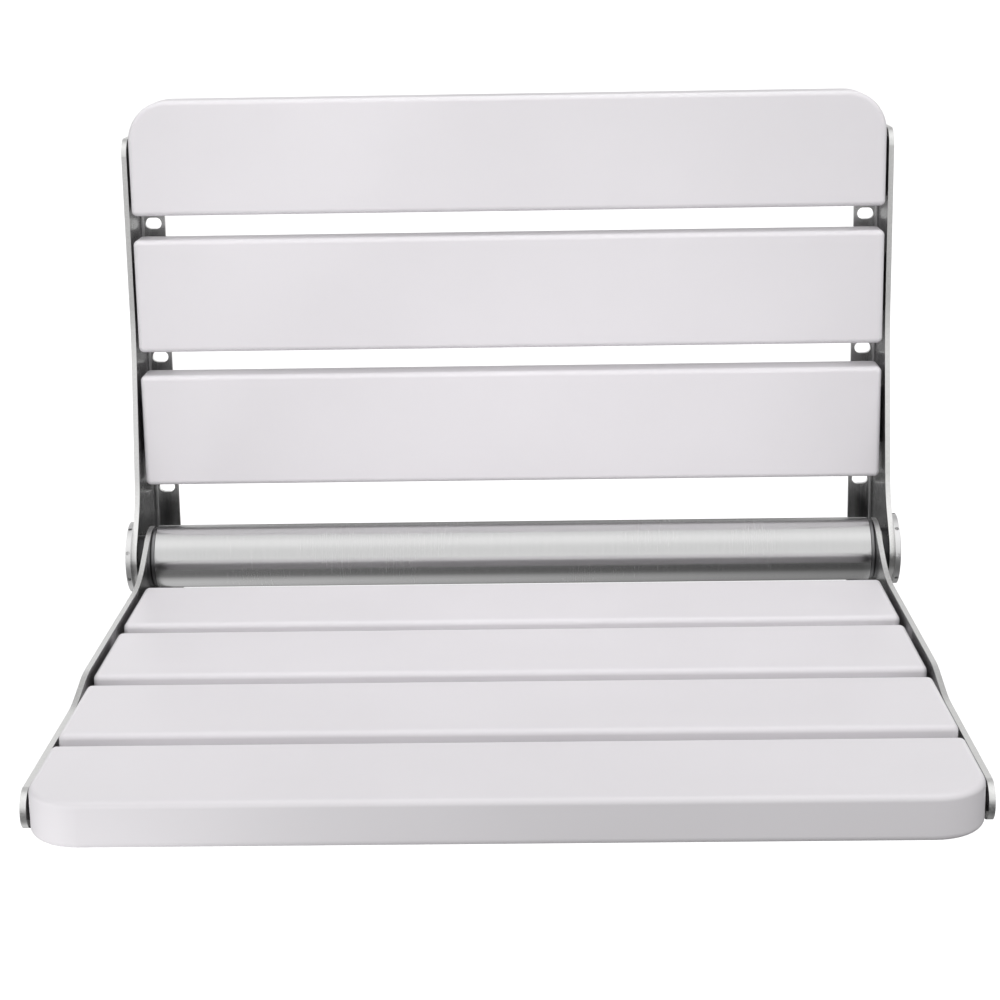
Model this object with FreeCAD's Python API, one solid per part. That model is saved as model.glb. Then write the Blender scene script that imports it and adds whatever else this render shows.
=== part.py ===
import FreeCAD, Part
import math
import os

# Fold down wall seat with a slatted back, in millimetres.
# +X is to the right of someone facing the wall, +Y goes into the wall, +Z is up.
# The origin is on the wall plane, at the centre of the six wall fixing slots.

# Back slats
BACK_SLAT_LENGTH = 450.0
BACK_SLAT_WIDTH = 68.5
BACK_SLAT_PITCH = 83.0
BACK_TOP_Z = 162.0
BACK_FRONT_Y = -45.0
BACK_TOP_CORNER_RADIUS = 24.0
SLAT_THICKNESS = 22.0
SLAT_EDGE_RADIUS = 3.0
SLAT_CORNER_RADIUS = 3.2

# Seat slats
SEAT_SLAT_COUNT = 4
SEAT_SLAT_LENGTH = 433.0
SEAT_SLAT_WIDTH = 71.0
SEAT_SLAT_PITCH = 84.0
SEAT_TOP_Z = -118.0
SEAT_REAR_Y = -107.5
SEAT_FRONT_CORNER_RADIUS = 26.0

# Stainless sheet
SHEET = 3.0
BEND_INNER_RADIUS = 2.0

# Wall brackets
BRACKET_OUTER_X = 230.0
BRACKET_TOP_Z = 139.0
BRACKET_BOTTOM_Z = -176.0
BRACKET_TOP_CORNER_RADIUS = 10.0
BRACKET_FRONT_Y = -40.0
BRACKET_KNEE_Z = 20.0
BRACKET_KNEE_RADIUS = 200.0
BRACKET_SHOULDER_Y = -56.0
BRACKET_SHOULDER_ANGLE = 142.0
BRACKET_SHOULDER_RADIUS = 45.0
BRACKET_HUB_RADIUS = 17.5
BRACKET_FOOT_ANGLE = 225.0
BRACKET_FOOT_RADIUS = 10.0
FLANGE_WIDTH = 17.5
FLANGE_CORNER_RADIUS = 6.0
SLOT_X = 219.5
SLOT_PITCH = 84.0
SLOT_LENGTH = 10.0
SLOT_WIDTH = 7.0

# Hinge line
PIVOT_Y = -59.5
PIVOT_Z = -113.5
BUSH_HOLE_RADIUS = 9.0
BUSH_BORE_RADIUS = 7.05
BUSH_FLANGE_RADIUS = 13.0
PIN_SHOULDER_RADIUS = 7.0
PIN_THREAD_RADIUS = 5.0
PIN_HEAD_RADIUS = 10.0
PIN_HEAD_HEIGHT = 2.0
PIN_HEAD_CHAMFER = 0.5
PIN_TIP_GAP = 4.0
PIN_KEY_WIDTH = 6.0
PIN_KEY_DEPTH = 5.0
WASHER_BORE_RADIUS = 7.15
THRUST_WASHER_RADIUS = 14.0
THRUST_WASHER_HEIGHT = 2.0
FRICTION_DISC_RADIUS = 10.0
FRICTION_DISC_HEIGHT = 0.8
SIDE_PLAY = 0.1
THREAD_PLAY = 0.05

# Domed cap and its ring of screws
CAP_RADIUS = 21.3
CAP_RIM_HEIGHT = 3.0
CAP_HEIGHT = 5.5
CAP_CAVITY_RADIUS = 10.8
CAP_CAVITY_DEPTH = 3.4
CAP_SPANNER_HOLE_COUNT = 8
CAP_SPANNER_HOLE_RADIUS = 1.2
CAP_SPANNER_HOLE_DEPTH = 3.0
CAP_RIGHT_FIRST_ANGLE = 41.0
CAP_LEFT_FIRST_ANGLE = 23.5
CAP_SCREW_COUNT = 6
CAP_SCREW_RING_RADIUS = 14.0
CAP_SCREW_FIRST_ANGLE = 7.0
CAP_SCREW_RADIUS = 1.5
CAP_SCREW_HEAD_RADIUS = 2.6
CAP_SCREW_SEAT_HEIGHT = 1.0
CAP_SCREW_HEAD_HEIGHT = 1.0
CAP_SCREW_KEY_WIDTH = 2.0
CAP_SCREW_KEY_DEPTH = 0.7

# Cross tube and its end plugs
TUBE_RADIUS = 19.0
TUBE_WALL = 2.0
PLUG_COLLAR_WIDTH = 2.7
PLUG_COLLAR_RADIUS = 17.8
PLUG_COLLAR_CHAMFER = 0.6
PLUG_DEPTH = 22.0
HUB_SCREW_COUNT = 3
HUB_SCREW_FIRST_ANGLE = 90.0
HUB_SCREW_RING_RADIUS = 12.5
HUB_SCREW_RADIUS = 2.0
HUB_SCREW_HEAD_RADIUS = 3.9
HUB_SCREW_HEAD_HEIGHT = 2.2
HUB_SCREW_LENGTH = 14.0

# Seat arms
ARM_OUTER_X = 221.5
ARM_FRONT_Y = -406.5
ARM_TIP_RADIUS = 9.0
ARM_HUB_RADIUS = 18.5
ARM_SHOULDER_Y = -69.0
ARM_SHOULDER_RADIUS = 30.0
ARM_REAR_TOP_Z = -116.5
ARM_FRONT_TOP_Z = -123.5
ARM_STEP_REAR_Y = -263.0
ARM_STEP_FRONT_Y = -293.0
ARM_STEP_RADIUS = 60.0
ARM_NECK_SLOPE = 28.0
ARM_NECK_RADIUS = 65.0
ARM_FLANGE_WIDTH = 28.0
ARM_FLANGE_REAR_Y = -112.0
ARM_FLANGE_FRONT_Y = -397.0
ARM_FLANGE_CORNER_RADIUS = 8.0
ARM_BEND_INNER_RADIUS = 1.0

# Heel of each arm, and the buffer it rests on when the seat is down
HEEL_TANGENT_ANGLE = 45.0
HEEL_SHOULDER_RADIUS = 5.0
HEEL_BOTTOM_Z = -170.0
HEEL_REAR_RADIUS = 4.0
HEEL_FRONT_Y = -30.0
HEEL_FRONT_RADIUS = 12.0
HEEL_THROAT_Y = -88.0
HEEL_THROAT_RADIUS = 40.0
BUFFER_Z = -158.0
BUFFER_HEIGHT = 4.0
BUFFER_RADIUS = 4.4
BUFFER_RIM_RADIUS = 1.0
BUFFER_STEM_RADIUS = 2.5
BUFFER_STEM_PLAY = 0.1
BUFFER_STEM_INSET = 0.4

# Clips behind the back slats, and the slat screws
CLIP_SHEET = 2.0
CLIP_HEIGHT = 36.0
CLIP_SLAT_LEG = 27.0
CLIP_PLATE_LEG = 16.0
CLIP_CORNER_RADIUS = 4.0
CLIP_CENTRES_Z = (115.0, 44.5, -38.0)
CLIP_SCREW_X = 206.0
CLIP_SCREW_OFFSET = 11.0
SEAT_SCREW_X = 205.0
SEAT_SCREW_EDGE = 13.0
FLANGE_SCREW_EDGE = 7.0
SLAT_SCREW_RADIUS = 2.4
SLAT_SCREW_HEAD_RADIUS = 4.5
SLAT_SCREW_HEAD_HEIGHT = 2.4
SLAT_SCREW_HEAD_CHAMFER = 1.2
SLAT_SCREW_GRIP = 14.0
SCREW_HOLE_PLAY = 0.3

BRACKET_INNER_X = BRACKET_OUTER_X - SHEET
ARM_INNER_X = ARM_OUTER_X - SHEET
ARM_BOTTOM_Z = SEAT_TOP_Z - SLAT_THICKNESS - SHEET
BACK_REAR_Y = BACK_FRONT_Y + SLAT_THICKNESS
TUBE_END_X = ARM_INNER_X - PLUG_COLLAR_WIDTH
LENGTHWISE = FreeCAD.Vector(1, 0, 0)


def vec(x, y, z=0.0):
    return FreeCAD.Vector(x, y, z)


def save(name, shape):
    shape.exportStep(os.path.join("parts", name + ".step"))


def save_pair(name, right_shape):
    """Export a right-hand piece, and its mirror image for the left-hand side."""
    save(name + "_right", right_shape)
    save(name + "_left", right_shape.mirror(vec(0, 0), LENGTHWISE))


def rounded_face(corners):
    """Flat face whose outline runs through (u, v, radius) corners, each rounded by a tangent arc."""
    stretches = []
    for index, (u, v, radius) in enumerate(corners):
        corner = vec(u, v)
        back = vec(*corners[index - 1][:2]) - corner
        ahead = vec(*corners[(index + 1) % len(corners)][:2]) - corner
        half = back.getAngle(ahead) / 2
        back.normalize()
        ahead.normalize()
        reach = radius / math.tan(half)
        inward = (back + ahead).normalize()
        middle = corner + inward * (radius / math.sin(half) - radius)
        stretches.append((corner + back * reach, middle, corner + ahead * reach, radius))
    edges = []
    for index, (start, middle, end, radius) in enumerate(stretches):
        if radius > 0:
            edges.append(Part.Arc(start, middle, end).toShape())
        following = stretches[(index + 1) % len(stretches)][0]
        if end.distanceToPoint(following) > 1e-6:
            edges.append(Part.LineSegment(end, following).toShape())
    return Part.Face(Part.Wire(edges))


def side_plate(corners, x_from, x_to):
    """Plate square to X, cut to an outline of (y, z, radius) corners."""
    face = rounded_face(corners)
    face.Placement = FreeCAD.Placement(vec(x_from, 0), FreeCAD.Rotation(vec(1, 1, 1), 120))
    return face.extrude(vec(x_to - x_from, 0))


def front_plate(corners, y_from, y_to):
    """Plate square to Y, cut to an outline of (x, z, radius) corners."""
    face = rounded_face(corners)
    face.Placement = FreeCAD.Placement(vec(0, y_from), FreeCAD.Rotation(vec(1, 0, 0), 90))
    return face.extrude(vec(0, y_to - y_from))


def flat_plate(corners, z_from, z_to):
    """Plate square to Z, cut to an outline of (x, y, radius) corners."""
    face = rounded_face(corners)
    face.translate(vec(0, 0, z_from))
    return face.extrude(vec(0, 0, z_to - z_from))


def angle_corners(corner, leg_a, leg_b, sheet, inner_radius):
    """Section of a bent sheet: an L whose two legs leave its outer corner along leg_a and leg_b."""
    outer = vec(*corner)
    leg_a = vec(*leg_a)
    leg_b = vec(*leg_b)
    across_a = vec(leg_b.x, leg_b.y).normalize() * sheet
    across_b = vec(leg_a.x, leg_a.y).normalize() * sheet
    outline = [
        (outer, inner_radius + sheet),
        (outer + leg_a, 0),
        (outer + leg_a + across_a, 0),
        (outer + across_a + across_b, inner_radius),
        (outer + leg_b + across_b, 0),
        (outer + leg_b, 0),
    ]
    return [(point.x, point.y, radius) for point, radius in outline]


def tangent_corner(centre, radius, first_angle, second_angle):
    """Corner whose rounding is the circle, where its tangents at the two angles (degrees) cross."""
    half = math.radians(second_angle - first_angle) / 2
    middle = math.radians(first_angle + second_angle) / 2
    reach = radius / math.cos(half)
    return (centre[0] + reach * math.cos(middle), centre[1] + reach * math.sin(middle), radius)


def tangent_at(centre, radius, angle, axis, value):
    """Point on the circle's tangent at an angle (degrees), where y (axis 0) or z (axis 1) has a value."""
    normal = (math.cos(math.radians(angle)), math.sin(math.radians(angle)))
    other = 1 - axis
    point = [0.0, 0.0]
    point[axis] = value
    point[other] = centre[other] + (radius - (value - centre[axis]) * normal[axis]) / normal[other]
    return tuple(point)


def rod(radius, x_from, x_to, y=PIVOT_Y, z=PIVOT_Z):
    """Round bar along X, on the hinge line unless told otherwise."""
    return Part.makeCylinder(radius, x_to - x_from, vec(x_from, y, z), LENGTHWISE)


def tube_along_x(outer_radius, inner_radius, x_from, x_to):
    return rod(outer_radius, x_from, x_to).cut(rod(inner_radius, x_from, x_to))


def hex_socket(width, x_from, x_to, y, z):
    """Hexagonal key socket along X."""
    around = [math.radians(60 * side) for side in range(7)]
    reach = width / math.sqrt(3)
    points = [vec(x_from, y + reach * math.cos(turn), z + reach * math.sin(turn)) for turn in around]
    return Part.Face(Part.makePolygon(points)).extrude(vec(x_to - x_from, 0))


def ring_places(count, ring_radius, first_angle):
    """Places (y, z) evenly round the hinge line."""
    for number in range(count):
        turn = math.radians(first_angle + 360.0 * number / count)
        yield PIVOT_Y + ring_radius * math.cos(turn), PIVOT_Z + ring_radius * math.sin(turn)


def pan_screw(tip, direction, length):
    """Pan head screw; its shank runs from the underside of the head to the tip."""
    seat = tip - direction * length
    shank = Part.makeCylinder(SLAT_SCREW_RADIUS, length, tip, direction * -1)
    head = Part.makeCylinder(SLAT_SCREW_HEAD_RADIUS, SLAT_SCREW_HEAD_HEIGHT, seat, direction * -1)
    far_rim = max(head.Edges, key=lambda edge: (edge.CenterOfMass - tip).Length if edge.Closed else 0)
    head = head.makeChamfer(SLAT_SCREW_HEAD_CHAMFER, [far_rim])
    return shank.fuse(head).removeSplitter()


def slat(corners, as_plate, from_face, to_face):
    """Moulded slat with every long and end edge rounded."""
    body = as_plate(corners, from_face, to_face)
    sides = [edge for edge in body.Edges if on_broad_face(edge, body)]
    return body.makeFillet(SLAT_EDGE_RADIUS, sides)


def on_broad_face(edge, body):
    """True for the outline edges of a plate's two broad faces."""
    box = body.BoundBox
    thin = min(("X", "Y", "Z"), key=lambda name: getattr(box, name + "Length"))
    return getattr(edge.BoundBox, thin + "Length") < 1e-6


def back_slat_span(number):
    top = BACK_TOP_Z - number * BACK_SLAT_PITCH
    return top - BACK_SLAT_WIDTH, top


def seat_slat_span(number):
    rear = SEAT_REAR_Y - number * SEAT_SLAT_PITCH
    return rear - SEAT_SLAT_WIDTH, rear


def clip_screw_places():
    """Places (x, z) of the back slat screws, right-hand side."""
    for centre in CLIP_CENTRES_Z:
        for offset in (-CLIP_SCREW_OFFSET, CLIP_SCREW_OFFSET):
            yield CLIP_SCREW_X, centre + offset


def seat_screw_places(number):
    """Places (x, y) of one seat slat's screws, right-hand side."""
    front, rear = seat_slat_span(number)
    yield SEAT_SCREW_X, rear - SEAT_SCREW_EDGE
    yield SEAT_SCREW_X, max(front + SEAT_SCREW_EDGE, ARM_FLANGE_FRONT_Y + FLANGE_SCREW_EDGE)


def back_slat(number, top_corner_radius):
    low, high = back_slat_span(number)
    half = BACK_SLAT_LENGTH / 2
    corners = [
        (-half, low, SLAT_CORNER_RADIUS),
        (half, low, SLAT_CORNER_RADIUS),
        (half, high, top_corner_radius),
        (-half, high, top_corner_radius),
    ]
    body = slat(corners, front_plate, BACK_FRONT_Y, BACK_REAR_Y)
    for x, z in clip_screw_places():
        if low < z < high:
            for side in (x, -x):
                hole = Part.makeCylinder(SLAT_SCREW_RADIUS, SLAT_SCREW_GRIP - CLIP_SHEET,
                                         vec(side, BACK_REAR_Y, z), vec(0, -1))
                body = body.cut(hole)
    return body


def seat_slat(number, front_corner_radius):
    front, rear = seat_slat_span(number)
    half = SEAT_SLAT_LENGTH / 2
    corners = [
        (-half, front, front_corner_radius),
        (half, front, front_corner_radius),
        (half, rear, SLAT_CORNER_RADIUS),
        (-half, rear, SLAT_CORNER_RADIUS),
    ]
    underside = SEAT_TOP_Z - SLAT_THICKNESS
    body = slat(corners, flat_plate, underside, SEAT_TOP_Z)
    for x, y in seat_screw_places(number):
        for side in (x, -x):
            hole = Part.makeCylinder(SLAT_SCREW_RADIUS, SLAT_SCREW_GRIP - SHEET,
                                     vec(side, y, underside), vec(0, 0, 1))
            body = body.cut(hole)
    return body


def bracket_outline():
    """Side plate: the front edge leans forward below the knee, rounds the hinge and falls back."""
    pivot = (PIVOT_Y, PIVOT_Z)
    shoulder = tangent_at(pivot, BRACKET_HUB_RADIUS, BRACKET_SHOULDER_ANGLE, 0, BRACKET_SHOULDER_Y)
    foot = tangent_at(pivot, BRACKET_HUB_RADIUS, BRACKET_FOOT_ANGLE, 1, BRACKET_BOTTOM_Z)
    bend_start = -(BEND_INNER_RADIUS + SHEET)
    return [
        (bend_start, BRACKET_TOP_Z, 0),
        (BRACKET_FRONT_Y, BRACKET_TOP_Z, BRACKET_TOP_CORNER_RADIUS),
        (BRACKET_FRONT_Y, BRACKET_KNEE_Z, BRACKET_KNEE_RADIUS),
        (*shoulder, BRACKET_SHOULDER_RADIUS),
        tangent_corner(pivot, BRACKET_HUB_RADIUS, BRACKET_SHOULDER_ANGLE, BRACKET_FOOT_ANGLE),
        (*foot, BRACKET_FOOT_RADIUS),
        (bend_start, BRACKET_BOTTOM_Z, 0),
    ]


def wall_slot(z):
    """Fixing slot through the wall flange, long across the flange, with round ends."""
    end = SLOT_WIDTH / 2
    straight = SLOT_LENGTH - SLOT_WIDTH
    body = Part.makeBox(straight, SHEET, SLOT_WIDTH, vec(SLOT_X - straight / 2, -SHEET, z - end))
    for x in (SLOT_X - straight / 2, SLOT_X + straight / 2):
        body = body.fuse(Part.makeCylinder(end, SHEET, vec(x, -SHEET, z), vec(0, 1)))
    return body.removeSplitter()


def wall_bracket():
    """L-section bracket: side plate, bend and wall flange in one sheet."""
    plate = side_plate(bracket_outline(), BRACKET_INNER_X, BRACKET_OUTER_X)
    bend_reach = BEND_INNER_RADIUS + SHEET
    section = angle_corners((BRACKET_OUTER_X, 0), (-FLANGE_WIDTH, 0), (0, -bend_reach),
                            SHEET, BEND_INNER_RADIUS)
    flange = flat_plate(section, BRACKET_BOTTOM_Z, BRACKET_TOP_Z)
    inner_edge = BRACKET_OUTER_X - FLANGE_WIDTH
    front_view = [
        (inner_edge, BRACKET_BOTTOM_Z, FLANGE_CORNER_RADIUS),
        (BRACKET_OUTER_X, BRACKET_BOTTOM_Z, 0),
        (BRACKET_OUTER_X, BRACKET_TOP_Z, 0),
        (inner_edge, BRACKET_TOP_Z, FLANGE_CORNER_RADIUS),
    ]
    flange = flange.common(front_plate(front_view, 0, -bend_reach))
    body = plate.fuse(flange).removeSplitter()
    for step in (-1, 0, 1):
        body = body.cut(wall_slot(step * SLOT_PITCH))
    body = body.cut(rod(BUSH_HOLE_RADIUS, BRACKET_INNER_X, BRACKET_OUTER_X))
    for y, z in ring_places(CAP_SCREW_COUNT, CAP_SCREW_RING_RADIUS, CAP_SCREW_FIRST_ANGLE):
        body = body.cut(rod(CAP_SCREW_RADIUS, BRACKET_INNER_X, BRACKET_OUTER_X, y, z))
    stem_hole = Part.makeCylinder(BUFFER_STEM_RADIUS + BUFFER_STEM_PLAY, SHEET, buffer_place(), vec(0, 1))
    return body.cut(stem_hole)


def buffer_place():
    """Centre of the buffer, on the front face of the right-hand wall flange."""
    return vec((ARM_INNER_X + ARM_OUTER_X) / 2, -SHEET, BUFFER_Z)


def stop_buffer():
    """Rubber pad with a stem in the wall flange."""
    place = buffer_place()
    pad = Part.makeCylinder(BUFFER_RADIUS, BUFFER_HEIGHT - SIDE_PLAY, place, vec(0, -1))
    rim = min(pad.Edges, key=lambda edge: edge.CenterOfMass.y if edge.Closed else 0)
    pad = pad.makeFillet(BUFFER_RIM_RADIUS, [rim])
    stem = Part.makeCylinder(BUFFER_STEM_RADIUS, SHEET - BUFFER_STEM_INSET, place, vec(0, 1))
    return pad.fuse(stem).removeSplitter()


def slat_clip(centre_z):
    """Small angle: one leg lies on the bracket's side plate, the other behind the slat's end."""
    section = angle_corners((BRACKET_INNER_X, BACK_REAR_Y), (-CLIP_SLAT_LEG, 0), (0, CLIP_PLATE_LEG),
                            CLIP_SHEET, CLIP_SHEET)
    low = centre_z - CLIP_HEIGHT / 2
    high = centre_z + CLIP_HEIGHT / 2
    body = flat_plate(section, low, high)
    inner_edge = BRACKET_INNER_X - CLIP_SLAT_LEG
    front_view = [
        (inner_edge, low, CLIP_CORNER_RADIUS),
        (BRACKET_INNER_X, low, 0),
        (BRACKET_INNER_X, high, 0),
        (inner_edge, high, CLIP_CORNER_RADIUS),
    ]
    body = body.common(front_plate(front_view, BACK_REAR_Y + CLIP_PLATE_LEG, BACK_REAR_Y))
    for x, z in clip_screw_places():
        if low < z < high:
            hole = Part.makeCylinder(SLAT_SCREW_RADIUS + SCREW_HOLE_PLAY, CLIP_SHEET,
                                     vec(x, BACK_REAR_Y, z), vec(0, 1))
            body = body.cut(hole)
    return body


def back_slat_screws():
    seat = BACK_REAR_Y + CLIP_SHEET
    screws = []
    for x, z in clip_screw_places():
        for side in (x, -x):
            tip = vec(side, seat - SLAT_SCREW_GRIP, z)
            screws.append(pan_screw(tip, vec(0, -1), SLAT_SCREW_GRIP))
    return Part.makeCompound(screws)


def seat_slat_screws():
    screws = []
    for number in range(SEAT_SLAT_COUNT):
        for x, y in seat_screw_places(number):
            for side in (x, -x):
                tip = vec(side, y, ARM_BOTTOM_Z + SLAT_SCREW_GRIP)
                screws.append(pan_screw(tip, vec(0, 0, 1), SLAT_SCREW_GRIP))
    return Part.makeCompound(screws)


def arm_outline():
    """Arm: round hub, neck sweeping down to the seat, step beside the slats, round tip, and heel."""
    pivot = (PIVOT_Y, PIVOT_Z)
    hub_top = PIVOT_Z + ARM_HUB_RADIUS
    neck_run = (hub_top - ARM_REAR_TOP_Z) / math.tan(math.radians(ARM_NECK_SLOPE))
    heel_rear = -(SHEET + BUFFER_HEIGHT)
    heel_top = tangent_at(pivot, ARM_HUB_RADIUS, HEEL_TANGENT_ANGLE, 0, heel_rear)
    return [
        tangent_corner(pivot, ARM_HUB_RADIUS, HEEL_TANGENT_ANGLE, 90.0),
        (ARM_SHOULDER_Y, hub_top, ARM_SHOULDER_RADIUS),
        (ARM_SHOULDER_Y - neck_run, ARM_REAR_TOP_Z, ARM_NECK_RADIUS),
        (ARM_STEP_REAR_Y, ARM_REAR_TOP_Z, ARM_STEP_RADIUS),
        (ARM_STEP_FRONT_Y, ARM_FRONT_TOP_Z, ARM_STEP_RADIUS),
        (ARM_FRONT_Y, ARM_FRONT_TOP_Z, ARM_TIP_RADIUS),
        (ARM_FRONT_Y, ARM_BOTTOM_Z, ARM_TIP_RADIUS),
        (HEEL_THROAT_Y, ARM_BOTTOM_Z, HEEL_THROAT_RADIUS),
        (HEEL_FRONT_Y, HEEL_BOTTOM_Z, HEEL_FRONT_RADIUS),
        (heel_rear, HEEL_BOTTOM_Z, HEEL_REAR_RADIUS),
        (*heel_top, HEEL_SHOULDER_RADIUS),
    ]


def seat_arm():
    """Arm plate with a flange bent inwards under the seat slats."""
    web = side_plate(arm_outline(), ARM_INNER_X, ARM_OUTER_X)
    bend_reach = ARM_BEND_INNER_RADIUS + SHEET
    section = angle_corners((ARM_OUTER_X, ARM_BOTTOM_Z), (-ARM_FLANGE_WIDTH, 0), (0, bend_reach),
                            SHEET, ARM_BEND_INNER_RADIUS)
    relief = Part.makeBox(SHEET, ARM_FLANGE_REAR_Y - ARM_FLANGE_FRONT_Y, bend_reach,
                          vec(ARM_INNER_X, ARM_FLANGE_FRONT_Y, ARM_BOTTOM_Z))
    flange = front_plate(section, ARM_FLANGE_REAR_Y, ARM_FLANGE_FRONT_Y)
    inner_edge = ARM_OUTER_X - ARM_FLANGE_WIDTH
    plan = [
        (inner_edge, ARM_FLANGE_FRONT_Y, ARM_FLANGE_CORNER_RADIUS),
        (ARM_OUTER_X, ARM_FLANGE_FRONT_Y, 0),
        (ARM_OUTER_X, ARM_FLANGE_REAR_Y, 0),
        (inner_edge, ARM_FLANGE_REAR_Y, ARM_FLANGE_CORNER_RADIUS),
    ]
    flange = flange.common(flat_plate(plan, ARM_BOTTOM_Z, ARM_BOTTOM_Z + bend_reach))
    body = web.cut(relief).fuse(flange).removeSplitter()
    for number in range(SEAT_SLAT_COUNT):
        for x, y in seat_screw_places(number):
            hole = Part.makeCylinder(SLAT_SCREW_RADIUS + SCREW_HOLE_PLAY, SHEET,
                                     vec(x, y, ARM_BOTTOM_Z), vec(0, 0, 1))
            body = body.cut(hole)
    body = body.cut(rod(PIN_THREAD_RADIUS, ARM_INNER_X, ARM_OUTER_X))
    return body.cut(hub_screws())


def hub_screw(y, z):
    """Countersunk screw, flush with the arm's outer face."""
    neck = ARM_OUTER_X - HUB_SCREW_HEAD_HEIGHT
    shank = rod(HUB_SCREW_RADIUS, ARM_OUTER_X - HUB_SCREW_LENGTH, neck, y, z)
    head = Part.makeCone(HUB_SCREW_RADIUS, HUB_SCREW_HEAD_RADIUS, HUB_SCREW_HEAD_HEIGHT,
                         vec(neck, y, z), LENGTHWISE)
    return shank.fuse(head).removeSplitter()


def hub_screws():
    places = ring_places(HUB_SCREW_COUNT, HUB_SCREW_RING_RADIUS, HUB_SCREW_FIRST_ANGLE)
    return Part.makeCompound([hub_screw(y, z) for y, z in places])


def tube_plug():
    """Turned plug in the tube's end, with a collar between the tube and the arm."""
    body = rod(TUBE_RADIUS - TUBE_WALL, TUBE_END_X - PLUG_DEPTH, TUBE_END_X)
    collar = rod(PLUG_COLLAR_RADIUS, TUBE_END_X, ARM_INNER_X)
    rims = [edge for edge in collar.Edges if edge.Closed]
    body = body.fuse(collar.makeChamfer(PLUG_COLLAR_CHAMFER, rims)).removeSplitter()
    body = body.cut(rod(PIN_THREAD_RADIUS, TUBE_END_X - PLUG_DEPTH, ARM_INNER_X))
    return body.cut(hub_screws())


def pivot_pin():
    """Shoulder bolt: it clamps the arm to the plug, and its shoulder turns in the bush."""
    head_from = BRACKET_OUTER_X + SIDE_PLAY * 2 + FRICTION_DISC_HEIGHT
    head_to = head_from + PIN_HEAD_HEIGHT
    thread = rod(PIN_THREAD_RADIUS - THREAD_PLAY, TUBE_END_X - PLUG_DEPTH + PIN_TIP_GAP, ARM_OUTER_X)
    shoulder = rod(PIN_SHOULDER_RADIUS, ARM_OUTER_X, head_from)
    head = rod(PIN_HEAD_RADIUS, head_from, head_to)
    outer_rim = max(head.Edges, key=lambda edge: edge.CenterOfMass.x if edge.Closed else 0)
    head = head.makeChamfer(PIN_HEAD_CHAMFER, [outer_rim])
    body = thread.fuse([shoulder, head]).removeSplitter()
    return body.cut(hex_socket(PIN_KEY_WIDTH, head_to - PIN_KEY_DEPTH, head_to, PIVOT_Y, PIVOT_Z))


def thrust_washer():
    return tube_along_x(THRUST_WASHER_RADIUS, WASHER_BORE_RADIUS,
                        ARM_OUTER_X, ARM_OUTER_X + THRUST_WASHER_HEIGHT)


def hinge_bush():
    """Flanged bush, pressed into the bracket from the inside."""
    flange_from = ARM_OUTER_X + THRUST_WASHER_HEIGHT + SIDE_PLAY
    flange = tube_along_x(BUSH_FLANGE_RADIUS, BUSH_BORE_RADIUS, flange_from, BRACKET_INNER_X)
    sleeve = tube_along_x(BUSH_HOLE_RADIUS, BUSH_BORE_RADIUS, BRACKET_INNER_X, BRACKET_OUTER_X)
    return flange.fuse(sleeve).removeSplitter()


def friction_disc():
    disc_from = BRACKET_OUTER_X + SIDE_PLAY * 2
    return tube_along_x(FRICTION_DISC_RADIUS, WASHER_BORE_RADIUS,
                        disc_from, disc_from + FRICTION_DISC_HEIGHT)


def cap_dome_arc():
    """Rim, crown and a point between them, as places along X and out from the hinge line."""
    rim_x = BRACKET_OUTER_X + CAP_RIM_HEIGHT
    crown_x = BRACKET_OUTER_X + CAP_HEIGHT
    rise = crown_x - rim_x
    sphere = (CAP_RADIUS ** 2 + rise ** 2) / (2 * rise)
    half_turn = math.asin(CAP_RADIUS / sphere) / 2
    middle = vec(crown_x - sphere + sphere * math.cos(half_turn), sphere * math.sin(half_turn))
    return vec(rim_x, CAP_RADIUS), middle, vec(crown_x, 0)


def spanner_hole(y, z):
    """Blind hole for a pin spanner, from a place on the cap's rim towards the hinge line."""
    place = vec(BRACKET_OUTER_X + CAP_RIM_HEIGHT / 2, y, z)
    inward = vec(place.x, PIVOT_Y, PIVOT_Z) - place
    return Part.makeCylinder(CAP_SPANNER_HOLE_RADIUS, CAP_SPANNER_HOLE_DEPTH, place, inward)


def hinge_cap(first_angle):
    """Domed cap, hollow over the pin's head, with holes round its rim and a recess for each screw."""
    rim, middle, crown = cap_dome_arc()
    base_rim = vec(BRACKET_OUTER_X, CAP_RADIUS)
    base_centre = vec(BRACKET_OUTER_X, 0)
    profile = Part.Wire([
        Part.LineSegment(base_centre, base_rim).toShape(),
        Part.LineSegment(base_rim, rim).toShape(),
        Part.Arc(rim, middle, crown).toShape(),
        Part.LineSegment(crown, base_centre).toShape(),
    ])
    body = Part.Face(profile).revolve(vec(0, 0), LENGTHWISE, 360)
    body.translate(vec(0, PIVOT_Y, PIVOT_Z))
    body = body.cut(rod(CAP_CAVITY_RADIUS, BRACKET_OUTER_X, BRACKET_OUTER_X + CAP_CAVITY_DEPTH))
    seat = BRACKET_OUTER_X + CAP_SCREW_SEAT_HEIGHT
    for y, z in ring_places(CAP_SCREW_COUNT, CAP_SCREW_RING_RADIUS, CAP_SCREW_FIRST_ANGLE):
        body = body.cut(rod(CAP_SCREW_RADIUS + THREAD_PLAY, BRACKET_OUTER_X, seat, y, z))
        body = body.cut(rod(CAP_SCREW_HEAD_RADIUS + THREAD_PLAY, seat, BRACKET_OUTER_X + CAP_HEIGHT, y, z))
    for y, z in ring_places(CAP_SPANNER_HOLE_COUNT, CAP_RADIUS, first_angle):
        body = body.cut(spanner_hole(y, z))
    return body


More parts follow.
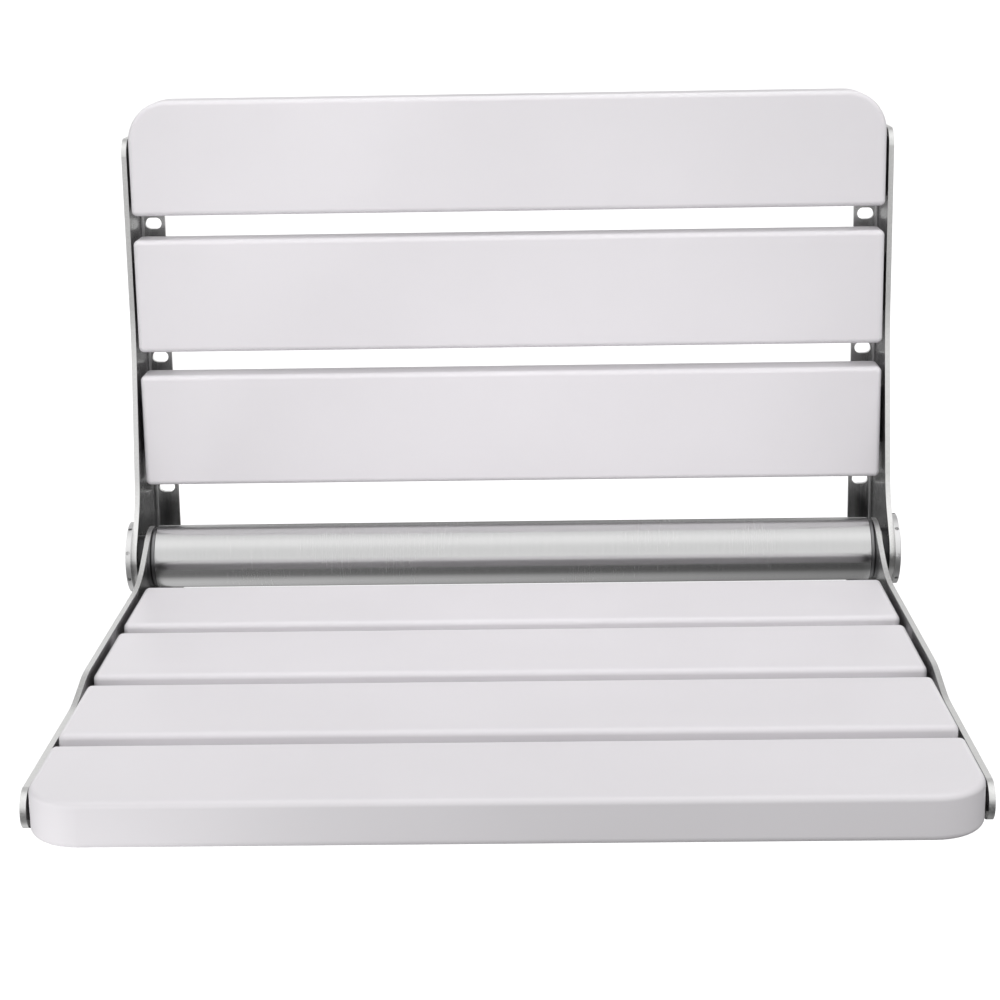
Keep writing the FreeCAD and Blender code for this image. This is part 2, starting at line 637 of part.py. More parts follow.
def cap_screws():
    """Socket screws, their heads sunk below the dome."""
    seat = BRACKET_OUTER_X + CAP_SCREW_SEAT_HEIGHT
    top = seat + CAP_SCREW_HEAD_HEIGHT
    screws = []
    for y, z in ring_places(CAP_SCREW_COUNT, CAP_SCREW_RING_RADIUS, CAP_SCREW_FIRST_ANGLE):
        shank = rod(CAP_SCREW_RADIUS, BRACKET_INNER_X, seat, y, z)
        head = rod(CAP_SCREW_HEAD_RADIUS, seat, top, y, z)
        socket = hex_socket(CAP_SCREW_KEY_WIDTH, top - CAP_SCREW_KEY_DEPTH, top, y, z)
        screws.append(shank.fuse(head).removeSplitter().cut(socket))
    return Part.makeCompound(screws)


def cross_tube():
    return tube_along_x(TUBE_RADIUS, TUBE_RADIUS - TUBE_WALL, -TUBE_END_X, TUBE_END_X)


def both_sides(right_shape):
    """A right-hand group with its mirror image, in one compound."""
    left_shape = right_shape.mirror(vec(0, 0), LENGTHWISE)
    return Part.makeCompound(right_shape.Solids + left_shape.Solids)


os.makedirs("parts", exist_ok=True)

# Fixed to the wall
save_pair("wall_bracket", wall_bracket())
save("back_slat_top", back_slat(0, BACK_TOP_CORNER_RADIUS))
save("back_slat_middle", back_slat(1, SLAT_CORNER_RADIUS))
save("back_slat_bottom", back_slat(2, SLAT_CORNER_RADIUS))
for level, clip_z in zip(("top", "middle", "bottom"), CLIP_CENTRES_Z):
    save_pair("slat_clip_" + level, slat_clip(clip_z))
save("back_slat_screws", back_slat_screws())
save_pair("hinge_bush", hinge_bush())
save("hinge_cap_right", hinge_cap(CAP_RIGHT_FIRST_ANGLE))
save("hinge_cap_left", hinge_cap(CAP_LEFT_FIRST_ANGLE).mirror(vec(0, 0), LENGTHWISE))
save_pair("cap_screws", cap_screws())
save_pair("stop_buffer", stop_buffer())

# Folding seat
save_pair("seat_arm", seat_arm())
save("cross_tube", cross_tube())
save_pair("tube_plug", tube_plug())
save("hub_screws", both_sides(hub_screws()))
save_pair("pivot_pin", pivot_pin())
save_pair("thrust_washer", thrust_washer())
save_pair("friction_disc", friction_disc())
save("seat_slat_rear", seat_slat(0, SLAT_CORNER_RADIUS))
save("seat_slat_middle_rear", seat_slat(1, SLAT_CORNER_RADIUS))
save("seat_slat_middle_front", seat_slat(2, SLAT_CORNER_RADIUS))
save("seat_slat_front", seat_slat(3, SEAT_FRONT_CORNER_RADIUS))
save("seat_slat_screws", seat_slat_screws())
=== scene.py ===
import math

import bmesh
import bpy
from mathutils import Matrix, Vector


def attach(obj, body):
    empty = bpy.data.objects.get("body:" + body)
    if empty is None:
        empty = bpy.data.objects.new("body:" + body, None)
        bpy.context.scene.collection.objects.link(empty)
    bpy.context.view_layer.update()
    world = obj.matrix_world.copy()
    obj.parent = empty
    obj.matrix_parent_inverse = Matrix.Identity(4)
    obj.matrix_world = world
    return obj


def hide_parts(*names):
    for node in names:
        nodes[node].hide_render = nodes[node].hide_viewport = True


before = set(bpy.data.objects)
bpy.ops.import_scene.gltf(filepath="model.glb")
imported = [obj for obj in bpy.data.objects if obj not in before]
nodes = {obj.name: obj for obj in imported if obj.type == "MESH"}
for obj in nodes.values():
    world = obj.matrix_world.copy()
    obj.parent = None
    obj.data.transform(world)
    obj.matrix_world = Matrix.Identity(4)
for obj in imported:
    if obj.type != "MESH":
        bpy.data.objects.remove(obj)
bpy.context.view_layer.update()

# Wall brackets: a left and a right angle of 3 mm stainless sheet, laser cut, bent once and brushed
# up and down. The wall flanges take the six wall screws; the side plates carry the back slats.

SHEET = 0.003
# The cut edge, pale with a painted highlight, stays this far inside the sheet's two faces.
SKIN = 0.00004
BRACKET_OUTER_X = 0.230
BRACKET_BEND_REACH = 0.0052
# These lie past the sheet's own ends, so the painted pale edge runs right out to them.
BEYOND_PLATE_FRONT_Y = -0.1
BEYOND_FLANGE_X = 0.2
EVEN = (1.0, 1.0, 1.0)
SMEAR_FINENESS = 22.0
GRAIN_ROUGHNESS = (-0.04, 0.05)
SPECKLE_FINENESS = 900.0
# Cut edge shades: a painted highlight, far paler than the steel of the faces.
CUT_EDGE_PAINTED_HIGHLIGHT_DARK = (0.78, 0.78, 0.77)
CUT_EDGE_PAINTED_HIGHLIGHT_LIGHT = (0.9, 0.9, 0.89)
CUT_EDGE_ROUGHNESS = (0.32, 0.44)


def add_node(material, kind, **inputs):
    """One shader node; keyword values go to its inputs (spaces written as underscores)."""
    node = material.node_tree.nodes.new(kind)
    for name, value in inputs.items():
        node.inputs[name.replace("_", " ")].default_value = value
    return node


def join(material, source, source_socket, target, target_socket):
    material.node_tree.links.new(source.outputs[source_socket], target.inputs[target_socket])


def sum_up(material, operation, first, second, third=None):
    """One sum of two or three values, each a number or another node's output."""
    node = material.node_tree.nodes.new("ShaderNodeMath")
    node.operation = operation
    for index, value in enumerate((first, second, third)):
        if isinstance(value, (int, float)):
            node.inputs[index].default_value = value
        elif value is not None:
            material.node_tree.links.new(value, node.inputs[index])
    return node.outputs["Value"]


def new_finish(name):
    """An empty material with its shader, ready for a finish."""
    material = bpy.data.materials.new(name)
    material.use_nodes = True
    shader = material.node_tree.nodes["Principled BSDF"]
    return material, shader


def object_pattern(material, scale, location=(0.0, 0.0, 0.0)):
    """Object coordinates, stretched where a pattern is finer across a direction than along it."""
    place = add_node(material, "ShaderNodeTexCoord")
    mapping = add_node(material, "ShaderNodeMapping", Scale=scale, Location=location)
    join(material, place, "Object", mapping, "Vector")
    return mapping


def noise_on(material, mapping, scale, detail=2.0, roughness=0.5):
    noise = add_node(material, "ShaderNodeTexNoise",
                     Scale=scale, Detail=detail, Roughness=roughness)
    join(material, mapping, "Vector", noise, "Vector")
    return noise


def spread(material, noise, low, high, from_low=0.3, from_high=0.7):
    """A noise turned into a value between low and high."""
    ramp = add_node(material, "ShaderNodeMapRange", From_Min=from_low, From_Max=from_high,
                    To_Min=low, To_Max=high)
    join(material, noise, "Fac", ramp, "Value")
    return ramp.outputs["Result"]


def tint(material, share, dark, light):
    """A colour between two shades, each a colour or another node's output, by a 0 to 1 share."""
    mix = material.node_tree.nodes.new("ShaderNodeMix")
    mix.data_type = "RGBA"
    for socket, shade in (("A", dark), ("B", light)):
        if isinstance(shade, tuple):
            mix.inputs[socket].default_value = (*shade, 1.0)
        else:
            material.node_tree.links.new(shade, mix.inputs[socket])
    material.node_tree.links.new(share, mix.inputs["Factor"])
    return mix.outputs["Result"]


def sheet_edges(material, stretches):
    """1 on the cut edges of bent sheet, 0 elsewhere.

    Each stretch gives the direction through the sheet and the middle of its thickness, then the
    direction in which the edge runs and its two ends. X counts both ways from the middle.
    """
    place = add_node(material, "ShaderNodeTexCoord")
    parts = add_node(material, "ShaderNodeSeparateXYZ")
    join(material, place, "Object", parts, "Vector")
    along = {"X": sum_up(material, "ABSOLUTE", parts.outputs["X"], 0.0),
             "Y": parts.outputs["Y"], "Z": parts.outputs["Z"]}
    share = None
    for through, middle, run, start, end in stretches:
        inside = sum_up(material, "COMPARE", along[through], middle, SHEET / 2 - SKIN)
        there = sum_up(material, "COMPARE", along[run], (start + end) / 2, abs(end - start) / 2)
        both = sum_up(material, "MINIMUM", inside, there)
        share = both if share is None else sum_up(material, "MAXIMUM", share, both)
    return share


def brushed_steel(name, fine, light=(0.6, 0.6, 0.595), dark=(0.54, 0.54, 0.54),
                  smooth=0.26, rough=0.38, depth=0.00001, edges=()):
    """Stainless with a brushed grain; fine is its grain lines per metre in x, y and z."""
    material, shader = new_finish(name)
    shader.inputs["Metallic"].default_value = 1.0
    grain = noise_on(material, object_pattern(material, fine), scale=1.0, detail=3.0, roughness=0.6)
    smears = noise_on(material, object_pattern(material, EVEN), SMEAR_FINENESS, detail=4.0)
    shade = tint(material, spread(material, grain, 0.0, 1.0), dark, light)
    roughness = sum_up(material, "ADD", spread(material, smears, smooth, rough),
                       spread(material, grain, *GRAIN_ROUGHNESS))
    bump = add_node(material, "ShaderNodeBump", Strength=0.5, Distance=depth)
    join(material, grain, "Fac", bump, "Height")
    join(material, bump, "Normal", shader, "Normal")
    if edges:
        # The laser leaves the sheet's edges coarser and without the brushing; their paler colour is
        # a painted highlight.
        cut_edge_highlight_mask = sheet_edges(material, edges)
        speckle = noise_on(material, object_pattern(material, EVEN), SPECKLE_FINENESS, detail=3.0)
        pale = tint(material, spread(material, speckle, 0.0, 1.0), CUT_EDGE_PAINTED_HIGHLIGHT_DARK, CUT_EDGE_PAINTED_HIGHLIGHT_LIGHT)
        shade = tint(material, cut_edge_highlight_mask, shade, pale)
        coarse = spread(material, speckle, *CUT_EDGE_ROUGHNESS)
        change = sum_up(material, "SUBTRACT", coarse, roughness)
        roughness = sum_up(material, "MULTIPLY_ADD", cut_edge_highlight_mask, change, roughness)
    material.node_tree.links.new(shade, shader.inputs["Base Color"])
    material.node_tree.links.new(roughness, shader.inputs["Roughness"])
    return material


def give(material, *names):
    """Puts a finish on CAD nodes."""
    for name in names:
        nodes[name].data.materials.clear()
        nodes[name].data.materials.append(material)


# The brackets' steel is painted darker than the clips' same steel, a painted shade for their dark
# inner faces; their cut edges carry the painted highlight.
bracket_finish = brushed_steel(
    "bracket_brushed_steel", (5200.0, 5200.0, 70.0),
    light=(0.46, 0.46, 0.46), dark=(0.38, 0.38, 0.38), smooth=0.18, rough=0.28,
    edges=(("X", BRACKET_OUTER_X - SHEET / 2, "Y", BEYOND_PLATE_FRONT_Y, -BRACKET_BEND_REACH),
           ("Y", -SHEET / 2, "X", BEYOND_FLANGE_X, BRACKET_OUTER_X - BRACKET_BEND_REACH)))
give(bracket_finish, "wall_bracket_left", "wall_bracket_right")

# Back slats: three solid moulded slats of white plastic, satin, with every edge rounded.
# The top one's upper corners have a large radius. They are screwed to the clips from behind.

WHITE_DARK = (0.822, 0.800, 0.826)
WHITE_LIGHT = (0.849, 0.826, 0.854)
PEBBLE_FINENESS = 2400.0
CLOUD_FINENESS = 9.0
SCUFFS = (14.0, 900.0, 900.0)
SATIN_ROUGHNESS = (0.33, 0.42)
SCUFF_ROUGHER = 0.07


def white_plastic(name, along):
    """Satin white plastic; along is the moulding's flow lines per metre in x, y and z."""
    material, shader = new_finish(name)
    flow = noise_on(material, object_pattern(material, along), scale=1.0,
                    detail=3.0, roughness=0.55)
    pebble = noise_on(material, object_pattern(material, EVEN), PEBBLE_FINENESS, detail=2.0)
    cloud = noise_on(material, object_pattern(material, EVEN), CLOUD_FINENESS, detail=4.0)
    scuff = noise_on(material, object_pattern(material, SCUFFS), scale=1.0, detail=2.0)
    shade = tint(material, spread(material, cloud, 0.0, 1.0), WHITE_DARK, WHITE_LIGHT)
    material.node_tree.links.new(shade, shader.inputs["Base Color"])
    gloss = sum_up(material, "ADD", spread(material, cloud, *SATIN_ROUGHNESS),
                   spread(material, scuff, 0.0, SCUFF_ROUGHER, from_low=0.58, from_high=0.72))
    material.node_tree.links.new(gloss, shader.inputs["Roughness"])
    shader.inputs["Specular IOR Level"].default_value = 0.45
    fine_bump = add_node(material, "ShaderNodeBump", Strength=0.35, Distance=0.00002)
    join(material, pebble, "Fac", fine_bump, "Height")
    flow_bump = add_node(material, "ShaderNodeBump", Strength=0.5, Distance=0.00006)
    join(material, flow, "Fac", flow_bump, "Height")
    join(material, fine_bump, "Normal", flow_bump, "Normal")
    join(material, flow_bump, "Normal", shader, "Normal")
    return material


slat_finish = white_plastic("slat_white_plastic", (3.0, 180.0, 180.0))
give(slat_finish, "back_slat_top", "back_slat_middle", "back_slat_bottom")

# Slat clips: six small angles of 2 mm stainless, two to a back slat, brushed like the brackets.
# One leg is welded inside the bracket's side plate, the other lies behind the slat's end.

CLIP_LEVELS = ("top", "middle", "bottom")
SIDES = ("left", "right")
clip_finish = brushed_steel("clip_brushed_steel", (4200.0, 4200.0, 90.0),
                            smooth=0.3, rough=0.42)
give(clip_finish, *(f"slat_clip_{level}_{side}" for level in CLIP_LEVELS for side in SIDES))

# Back slat screws: twelve stainless pan heads with a cross recess, two to a clip, driven from
# behind. Each head is turned and pressed; its shank goes through the clip into the slat.

CLIP_CENTRES_Z = (0.115, 0.0445, -0.038)
CLIP_SCREW_X = 0.206
CLIP_SCREW_OFFSET = 0.011
CLIP_BACK_Y = -0.021
SCREW_SIDES = 32
SCREW_GRIP = 0.014
SHANK_RADIUS = 0.0024
SHANK_POINT = 0.0009
POINT_SHARE = 0.5
THREAD_TURNS = 10
THREAD_ROOT_SHARE = 0.86
TWIST_PER_SCREW = math.radians(37.0)
# Each ring of the head, from its rim to the recess: height over the face it bears on, and radius.
HEAD_PROFILE = ((0.0, 0.0044), (0.0002, 0.0045), (0.0011, 0.00442), (0.0016, 0.00405),
                (0.00205, 0.00335), (0.0023, 0.0026))
RECESS_ARM = 0.0021
RECESS_HALF_WIDTH = 0.00042
RECESS_DEPTH = 0.0013
RECESS_TAPER = 0.5
NEARLY_NOTHING = 0.001
WELD_WITHIN = 0.000001

screw_finish = brushed_steel("screw_bright_steel", (700.0, 700.0, 700.0), light=(0.68, 0.68, 0.67),
                             dark=(0.58, 0.58, 0.57), smooth=0.2, rough=0.32)


def next_ring(mesh, ring):
    """Extrudes a ring of edges; returns the new edges and corners, still in the old place."""
    made = bmesh.ops.extrude_edge_only(mesh, edges=ring)["geom"]
    edges = [item for item in made if isinstance(item, bmesh.types.BMEdge)]
    corners = [item for item in made if isinstance(item, bmesh.types.BMVert)]
    outer = [edge for edge in edges if all(corner in corners for corner in edge.verts)]
    return outer, corners


def set_ring(corners, radius, height):
    for corner in corners:
        flat = corner.co.xy.normalized() * radius
        corner.co = (flat.x, flat.y, height)


def cross_reach(turn):
    """Distance from the middle to the edge of the cross, in a direction."""
    turn = abs((turn + math.pi / 4) % (math.pi / 2) - math.pi / 4)
    side = RECESS_HALF_WIDTH / max(math.sin(turn), NEARLY_NOTHING)
    return min(side, RECESS_ARM / math.cos(turn))


def pan_screw_shape():
    """A pan head screw: the face its head bears on is at zero height, and its shank is below."""
    mesh = bmesh.new()
    bmesh.ops.create_circle(mesh, segments=SCREW_SIDES, radius=HEAD_PROFILE[0][1])
    rim = list(mesh.edges)
    ring = rim
    for height, radius in HEAD_PROFILE:
        ring, corners = next_ring(mesh, ring)
        set_ring(corners, radius, height)
    head_top = HEAD_PROFILE[-1][0]
    for height, scale in ((head_top, 1.0), (head_top - RECESS_DEPTH, RECESS_TAPER)):
        ring, corners = next_ring(mesh, ring)
        for corner in corners:
            reach = cross_reach(math.atan2(corner.co.y, corner.co.x)) * scale
            corner.co.xy = corner.co.xy.normalized() * reach
            corner.co.z = height
    bmesh.ops.contextual_create(mesh, geom=ring)
    ring, corners = next_ring(mesh, rim)
    set_ring(corners, SHANK_RADIUS, 0.0)
    pitch = (SCREW_GRIP - SHANK_POINT) / (THREAD_TURNS * 2)
    for turn in range(1, THREAD_TURNS * 2 + 1):
        ring, corners = next_ring(mesh, ring)
        set_ring(corners, SHANK_RADIUS * (THREAD_ROOT_SHARE if turn % 2 else 1.0), -turn * pitch)
    ring, corners = next_ring(mesh, ring)
    set_ring(corners, SHANK_RADIUS * POINT_SHARE, -SCREW_GRIP)
    bmesh.ops.contextual_create(mesh, geom=ring)
    bmesh.ops.remove_doubles(mesh, verts=mesh.verts, dist=WELD_WITHIN)
    bmesh.ops.recalc_face_normals(mesh, faces=mesh.faces)
    shape = bpy.data.meshes.new("pan_screw")
    mesh.to_mesh(shape)
    mesh.free()
    return shape


SMOOTH_LIMIT = math.radians(32.0)


def make_piece(name, mesh, finish, body):
    """Makes a finished bmesh a piece: soft shading, crisp corners, finish and body."""
    for face in mesh.faces:
        face.smooth = True
    for edge in mesh.edges:
        edge.smooth = edge.calc_face_angle(math.pi) < SMOOTH_LIMIT
    data = bpy.data.meshes.new(name)
    mesh.to_mesh(data)
    mesh.free()
    data.materials.append(finish)
    piece = bpy.data.objects.new(name, data)
    bpy.context.collection.objects.link(piece)
    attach(piece, body)
    return piece


def screw_group(name, places, upright, body, replaced):
    """Puts one screw at each place, its head looking along the upright direction."""
    mesh = bmesh.new()
    lay = Vector((0.0, 0.0, 1.0)).rotation_difference(Vector(upright)).to_matrix().to_4x4()
    for number, place in enumerate(places):
        first = len(mesh.verts)
        mesh.from_mesh(pan_screw)
        mesh.verts.ensure_lookup_table()
        twist = Matrix.Rotation(TWIST_PER_SCREW * number, 4, "Z")
        bmesh.ops.transform(mesh, verts=mesh.verts[first:],
                            matrix=Matrix.Translation(place) @ lay @ twist)
    piece = make_piece(name, mesh, screw_finish, body)
    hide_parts(replaced)


pan_screw = pan_screw_shape()
back_places = [(side * CLIP_SCREW_X, CLIP_BACK_Y, centre + offset)
               for centre in CLIP_CENTRES_Z for offset in (-CLIP_SCREW_OFFSET, CLIP_SCREW_OFFSET)
               for side in (-1, 1)]
screw_group("back_pan_screws", back_places, (0.0, 1.0, 0.0), "wall_frame", "back_slat_screws")

# Hinge bushes: a flanged bush of black acetal, turned, pressed into each bracket from the inside.
# The pin's shoulder turns in it.

PATCH_FINENESS = 160.0
PATCH_LIGHTER = 1.7


def moulded_black(name, shade, smooth, rough, grain_fineness, grain_depth):
    """Black plastic or rubber with a fine grain and uneven sheen."""
    material, shader = new_finish(name)
    grain = noise_on(material, object_pattern(material, EVEN), grain_fineness, detail=3.0)
    patches = noise_on(material, object_pattern(material, EVEN), PATCH_FINENESS, detail=3.0)
    pale = tuple(part * PATCH_LIGHTER for part in shade)
    colour = tint(material, spread(material, patches, 0.0, 1.0), shade, pale)
    material.node_tree.links.new(colour, shader.inputs["Base Color"])
    roughness = spread(material, patches, smooth, rough)
    material.node_tree.links.new(roughness, shader.inputs["Roughness"])
    bump = add_node(material, "ShaderNodeBump", Strength=0.6, Distance=grain_depth)
    join(material, grain, "Fac", bump, "Height")
    join(material, bump, "Normal", shader, "Normal")
    return material


bush_finish = moulded_black("bush_black_acetal", (0.018, 0.018, 0.019), smooth=0.32, rough=0.46,
                            grain_fineness=2600.0, grain_depth=0.00001)
give(bush_finish, "hinge_bush_left", "hinge_bush_right")

# Stop buffers: a small pad of black rubber on each wall flange, its stem pushed into a hole.
# The arm's heel rests on it when the seat is down.

rubber_finish = moulded_black("buffer_black_rubber", (0.012, 0.012, 0.012), smooth=0.6, rough=0.82,
                              grain_fineness=1500.0, grain_depth=0.00004)
give(rubber_finish, "stop_buffer_left", "stop_buffer_right")

# Hinge caps: a turned stainless cap over each hinge, slightly domed, with eight holes for a pin
# spanner round its rim. Six small socket screws in the face hold it to the bracket.

PIVOT_Y = -0.0595
PIVOT_Z = -0.1135
RING_FINENESS = 450.0
RING_ROUGHNESS = (-0.03, 0.03)
TURNED_SMEAR_FINENESS = 60.0


def turned_steel(name, light, dark, smooth, rough):
    """Stainless off the lathe, with the fine rings that its tool leaves round the hinge line."""
    material, shader = new_finish(name)
    shader.inputs["Metallic"].default_value = 1.0
    centred = object_pattern(material, EVEN, location=(0.0, -PIVOT_Y, -PIVOT_Z))
    rings = add_node(material, "ShaderNodeTexWave", Scale=RING_FINENESS, Distortion=0.6, Detail=2.0)
    rings.wave_type = "RINGS"
    rings.rings_direction = "X"
    join(material, centred, "Vector", rings, "Vector")
    smears = noise_on(material, object_pattern(material, EVEN), TURNED_SMEAR_FINENESS, detail=4.0)
    colour = tint(material, spread(material, smears, 0.0, 1.0), dark, light)
    material.node_tree.links.new(colour, shader.inputs["Base Color"])
    roughness = sum_up(material, "ADD", spread(material, smears, smooth, rough),
                       spread(material, rings, *RING_ROUGHNESS, from_low=0.0, from_high=1.0))
    material.node_tree.links.new(roughness, shader.inputs["Roughness"])
    bump = add_node(material, "ShaderNodeBump", Strength=0.4, Distance=0.000008)
    join(material, rings, "Fac", bump, "Height")
    join(material, bump, "Normal", shader, "Normal")
    return material


cap_finish = turned_steel("cap_turned_steel", light=(0.88, 0.88, 0.88), dark=(0.8, 0.8, 0.8),
                          smooth=0.34, rough=0.44)
give(cap_finish, "hinge_cap_left", "hinge_cap_right")
give(screw_finish, "cap_screws_left", "cap_screws_right")

# Seat arms: a left and a right plate of 3 mm stainless sheet, brushed lengthwise, with a round hub,
# a neck that sweeps down to the seat, a heel behind, and a flange bent in under the slats.

ARM_OUTER_X = 0.2215
ARM_BOTTOM_Z = -0.143
ARM_BEND_REACH = 0.0041
ARM_BEND_FOOT = 0.0006
ARM_FLANGE_REAR_Y = -0.112
BEYOND_ARM_TOP_Z = 0.0
BEYOND_ARM_HEEL_Y = 0.0
BEYOND_ARM_FLANGE_X = 0.19
# The arms' steel is painted darker than the clips' same steel, a painted shade for their dark inner
# faces; their cut edges carry the painted highlight.
arm_finish = brushed_steel(
    "arm_brushed_steel", (5200.0, 70.0, 5200.0),
    light=(0.46, 0.46, 0.46), dark=(0.38, 0.38, 0.38), smooth=0.18, rough=0.28,
    edges=(("X", ARM_OUTER_X - SHEET / 2, "Z", ARM_BOTTOM_Z + ARM_BEND_FOOT, BEYOND_ARM_TOP_Z),
           ("X", ARM_OUTER_X - SHEET / 2, "Y", ARM_FLANGE_REAR_Y, BEYOND_ARM_HEEL_Y),
           ("Z", ARM_BOTTOM_Z + SHEET / 2, "X", BEYOND_ARM_FLANGE_X, ARM_OUTER_X - ARM_BEND_REACH)))
give(arm_finish, "seat_arm_left", "seat_arm_right")

# Cross tube: 38 mm stainless tube on the hinge line, polished round on a belt.
# It ties the two arms, so the seat folds as one.

tube_finish = brushed_steel("tube_brushed_steel", (3000.0, 60.0, 60.0),
                            light=(0.68, 0.68, 0.68), dark=(0.64, 0.64, 0.64),
                            smooth=0.2, rough=0.25, depth=0.0000015)
give(tube_finish, "cross_tube")

# Hinge parts inside: a turned plug in each tube end with its collar showing, the shoulder bolt
# that joins arm and plug, its thrust washer and friction disc, and three countersunk screws.

# The plug's steel is painted much darker than the tube's, a painted shade for the recess between
# tube end and arm.
plug_finish = turned_steel("plug_turned_steel", light=(0.34, 0.34, 0.345), dark=(0.24, 0.24, 0.245),
                           smooth=0.3, rough=0.42)
give(plug_finish, "tube_plug_left", "tube_plug_right")
pin_finish = turned_steel("pin_turned_steel", light=(0.56, 0.56, 0.55), dark=(0.48, 0.48, 0.48),
                          smooth=0.2, rough=0.34)
give(pin_finish, *(f"{part}_{side}" for part in ("pivot_pin", "thrust_washer", "friction_disc")
                   for side in SIDES))
give(screw_finish, "hub_screws")

# Seat slats: four moulded slats of the same white plastic, side by side on the arms' flanges.
# The front one's two front corners have a large radius.

SEAT_SLATS = ("seat_slat_rear", "seat_slat_middle_rear",
              "seat_slat_middle_front", "seat_slat_front")
give(slat_finish, *SEAT_SLATS)

# Seat slat screws: sixteen of the same pan heads, two in each slat end, driven up from below
# through the arms' flanges.

SEAT_REAR_Y = -0.1075
SEAT_SLAT_WIDTH = 0.071
SEAT_SLAT_PITCH = 0.084
SEAT_SCREW_X = 0.205
SEAT_SCREW_EDGE = 0.013
FRONT_SCREW_Y = -0.390
seat_places = []
for number in range(len(SEAT_SLATS)):
    rear = SEAT_REAR_Y - number * SEAT_SLAT_PITCH
    front_screw = max(rear - SEAT_SLAT_WIDTH + SEAT_SCREW_EDGE, FRONT_SCREW_Y)
    for y in (rear - SEAT_SCREW_EDGE, front_screw):
        seat_places += [(side * SEAT_SCREW_X, y, ARM_BOTTOM_Z) for side in (-1, 1)]
screw_group("seat_pan_screws", seat_places, (0.0, 0.0, -1.0), "seat", "seat_slat_screws")

# Floor: one plain white sheet, well below the seat. It is seen, but lights and mirrors nothing:
# what shows in the steel is the surround that the light section gives.

FLOOR_HEIGHT = -0.9
FLOOR_HALF_SIZE = 60.0
floor_material, floor_shader = new_finish("pale_floor")
floor_shader.inputs["Base Color"].default_value = (0.8, 0.8, 0.8, 1.0)
floor_shader.inputs["Roughness"].default_value = 0.9
floor_shader.inputs["Specular IOR Level"].default_value = 0.1
floor_shader.inputs["Emission Color"].default_value = (1.0, 1.0, 1.0, 1.0)
floor_shader.inputs["Emission Strength"].default_value = 0.55
floor_mesh = bmesh.new()
bmesh.ops.create_grid(floor_mesh, x_segments=1, y_segments=1, size=FLOOR_HALF_SIZE)
bmesh.ops.translate(floor_mesh, verts=floor_mesh.verts, vec=(0.0, 0.0, FLOOR_HEIGHT))
floor_data = bpy.data.meshes.new("floor")
floor_mesh.to_mesh(floor_data)
floor_mesh.free()
floor_data.materials.append(floor_material)
floor = bpy.data.objects.new("floor", floor_data)
floor.visible_diffuse = False
floor.visible_glossy = False
bpy.context.collection.objects.link(floor)

# Light: a soft white surround, brightest in front and above and dark below, and three soft lamps:
# one over the seat, one in front of the back, and a small one low on the left for the front edge.


def softbox(name, place, aim, width, height, power, beam=math.pi):
    """A soft lamp at a place, turned towards a point; the steel mirrors only the surround."""
    lamp = bpy.data.lights.new(name, "AREA")
    lamp.shape = "RECTANGLE"
    lamp.size = width
    lamp.size_y = height
    lamp.energy = power
    lamp.spread = beam
    lamp_object = bpy.data.objects.new(name, lamp)
    lamp_object.location = place
    lamp_object.rotation_mode = "QUATERNION"
    lamp_object.rotation_quaternion = (Vector(aim) - Vector(place)).to_track_quat("-Z", "Y")
    lamp_object.visible_camera = False
    lamp_object.visible_glossy = False
    bpy.context.collection.objects.link(lamp_object)


softbox("high_lamp", place=(0.0, -0.75, 1.5), aim=(0.0, -0.25, -0.1),
        width=1.4, height=0.9, power=3.2)
softbox("front_lamp", place=(0.0, -1.05, 0.5), aim=(0.0, 0.0, 0.1),
        width=0.7, height=0.3, power=0.26, beam=math.radians(46.0))
softbox("low_left_lamp", place=(-0.36, -0.62, -0.36), aim=(-0.2, -0.43, -0.13),
        width=0.1, height=0.08, power=0.1, beam=math.radians(70.0))

world = bpy.data.worlds.new("studio")
world.use_nodes = True
surround = world.node_tree.nodes["Background"]
surround.inputs["Color"].default_value = (1.0, 1.0, 1.0, 1.0)
sky_place = add_node(world, "ShaderNodeTexCoord")
sky_parts = add_node(world, "ShaderNodeSeparateXYZ")
join(world, sky_place, "Generated", sky_parts, "Vector")
front_to_back = add_node(world, "ShaderNodeMapRange", From_Min=-1.0)
join(world, sky_parts, "Y", front_to_back, "Value")
# From the front (0) over to the back (1): what the surround shows above, and below.
ABOVE_LEVELS = ((0.0, 0.8), (0.043, 0.74), (0.265, 0.92), (0.5, 0.76), (0.56, 0.72), (0.646, 0.58),
                (0.735, 0.42), (0.91, 0.36), (1.0, 0.2))
BELOW_LEVELS = ((0.0, 0.1), (0.11, 0.12), (0.29, 0.14), (0.41, 0.32), (0.56, 0.4), (0.7, 0.38),
                (0.85, 0.3), (0.94, 0.08), (1.0, 0.02))
skies = []
for levels in (ABOVE_LEVELS, BELOW_LEVELS):
    sky = add_node(world, "ShaderNodeFloatCurve")
    line = sky.mapping.curves[0]
    for share, level in levels[1:-1]:
        line.points.new(share, level)
    line.points[0].location = levels[0]
    line.points[-1].location = levels[-1]
    sky.mapping.update()
    join(world, front_to_back, "Result", sky, "Value")
    skies.append(sky.outputs["Value"])
above, below = skies


def soft_step(value, start, end):
    """0 before the start, 1 after the end, smooth between."""
    step = add_node(world, "ShaderNodeMapRange", From_Min=start, From_Max=end)
    step.interpolation_type = "SMOOTHSTEP"
    world.node_tree.links.new(value, step.inputs["Value"])
    return step.outputs["Result"]


def blend_levels(share, low, high):
    """From low at a share of 0 to high at 1."""
    return sum_up(world, "MULTIPLY_ADD", share, sum_up(world, "SUBTRACT", high, low), low)


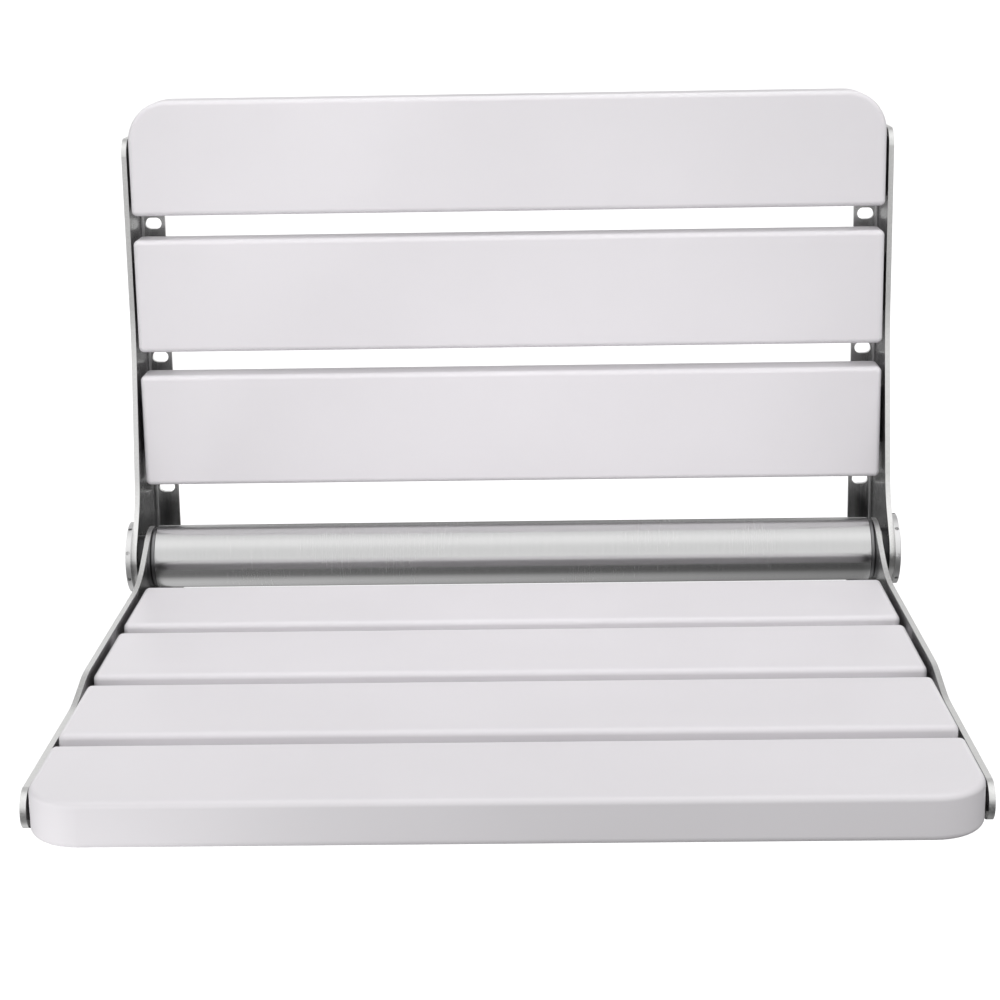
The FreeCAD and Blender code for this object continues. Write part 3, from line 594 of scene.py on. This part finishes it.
LEFT_TO_RIGHT_FALL = -2.6
LEFT_BELOW_MOST = 1.5
RIGHT_BELOW_LEAST = 0.3
SIDE_BELOW = 0.12
SIDE_ABOVE_SHARE = 0.7
BEHIND_SIDES_GLOW = 0.8
SURROUND_GAIN = 1.25
SEEN_WHITE = 1.0

# Below, the right side is darker than the left.
across = sky_parts.outputs["X"]
left_right = sum_up(world, "MULTIPLY_ADD", across, LEFT_TO_RIGHT_FALL, 1.0)
left_right = sum_up(world, "MAXIMUM", left_right, RIGHT_BELOW_LEAST)
left_right = sum_up(world, "MINIMUM", left_right, LEFT_BELOW_MOST)
below = sum_up(world, "MULTIPLY", below, left_right)

# The sides are duller than the middle, and behind, to the left and right, it is white again.
off_middle = sum_up(world, "ABSOLUTE", across, 0.0)
sideways = soft_step(off_middle, start=0.3, end=0.85)
below = blend_levels(sideways, below, SIDE_BELOW)
above = sum_up(world, "MULTIPLY", above, blend_levels(sideways, 1.0, SIDE_ABOVE_SHARE))
behind = soft_step(sky_parts.outputs["Y"], start=0.8, end=0.92)
behind_sides = sum_up(world, "MULTIPLY", behind, soft_step(off_middle, start=0.1, end=0.26))
above = sum_up(world, "MULTIPLY_ADD", behind_sides, BEHIND_SIDES_GLOW, above)
horizon = soft_step(sky_parts.outputs["Z"], start=-0.26, end=-0.02)
strength = sum_up(world, "MULTIPLY", blend_levels(horizon, below, above), SURROUND_GAIN)

# Seen directly, the surround is plain white, like the floor.
seen = add_node(world, "ShaderNodeLightPath")
strength = blend_levels(seen.outputs["Is Camera Ray"], strength, SEEN_WHITE)
world.node_tree.links.new(strength, surround.inputs["Strength"])
bpy.context.scene.world = world
bpy.context.scene.view_settings.view_transform = "Standard"

# Camera: placed and turned as fitted to the photograph's edges, with its slight roll. The shift
# is only what the photograph's framing needs.

camera_data = bpy.data.cameras.new("camera")
camera_data.sensor_width = 36.0
camera_data.lens = 76.59
camera_data.shift_y = -0.0876
camera = bpy.data.objects.new("camera", camera_data)
camera.location = (0.017467, -1.308943, 0.253476)
camera.rotation_mode = "ZYX"
camera.rotation_euler = (math.radians(77.396), math.radians(1.053), math.radians(-0.722))
bpy.context.collection.objects.link(camera)
bpy.context.scene.camera = camera
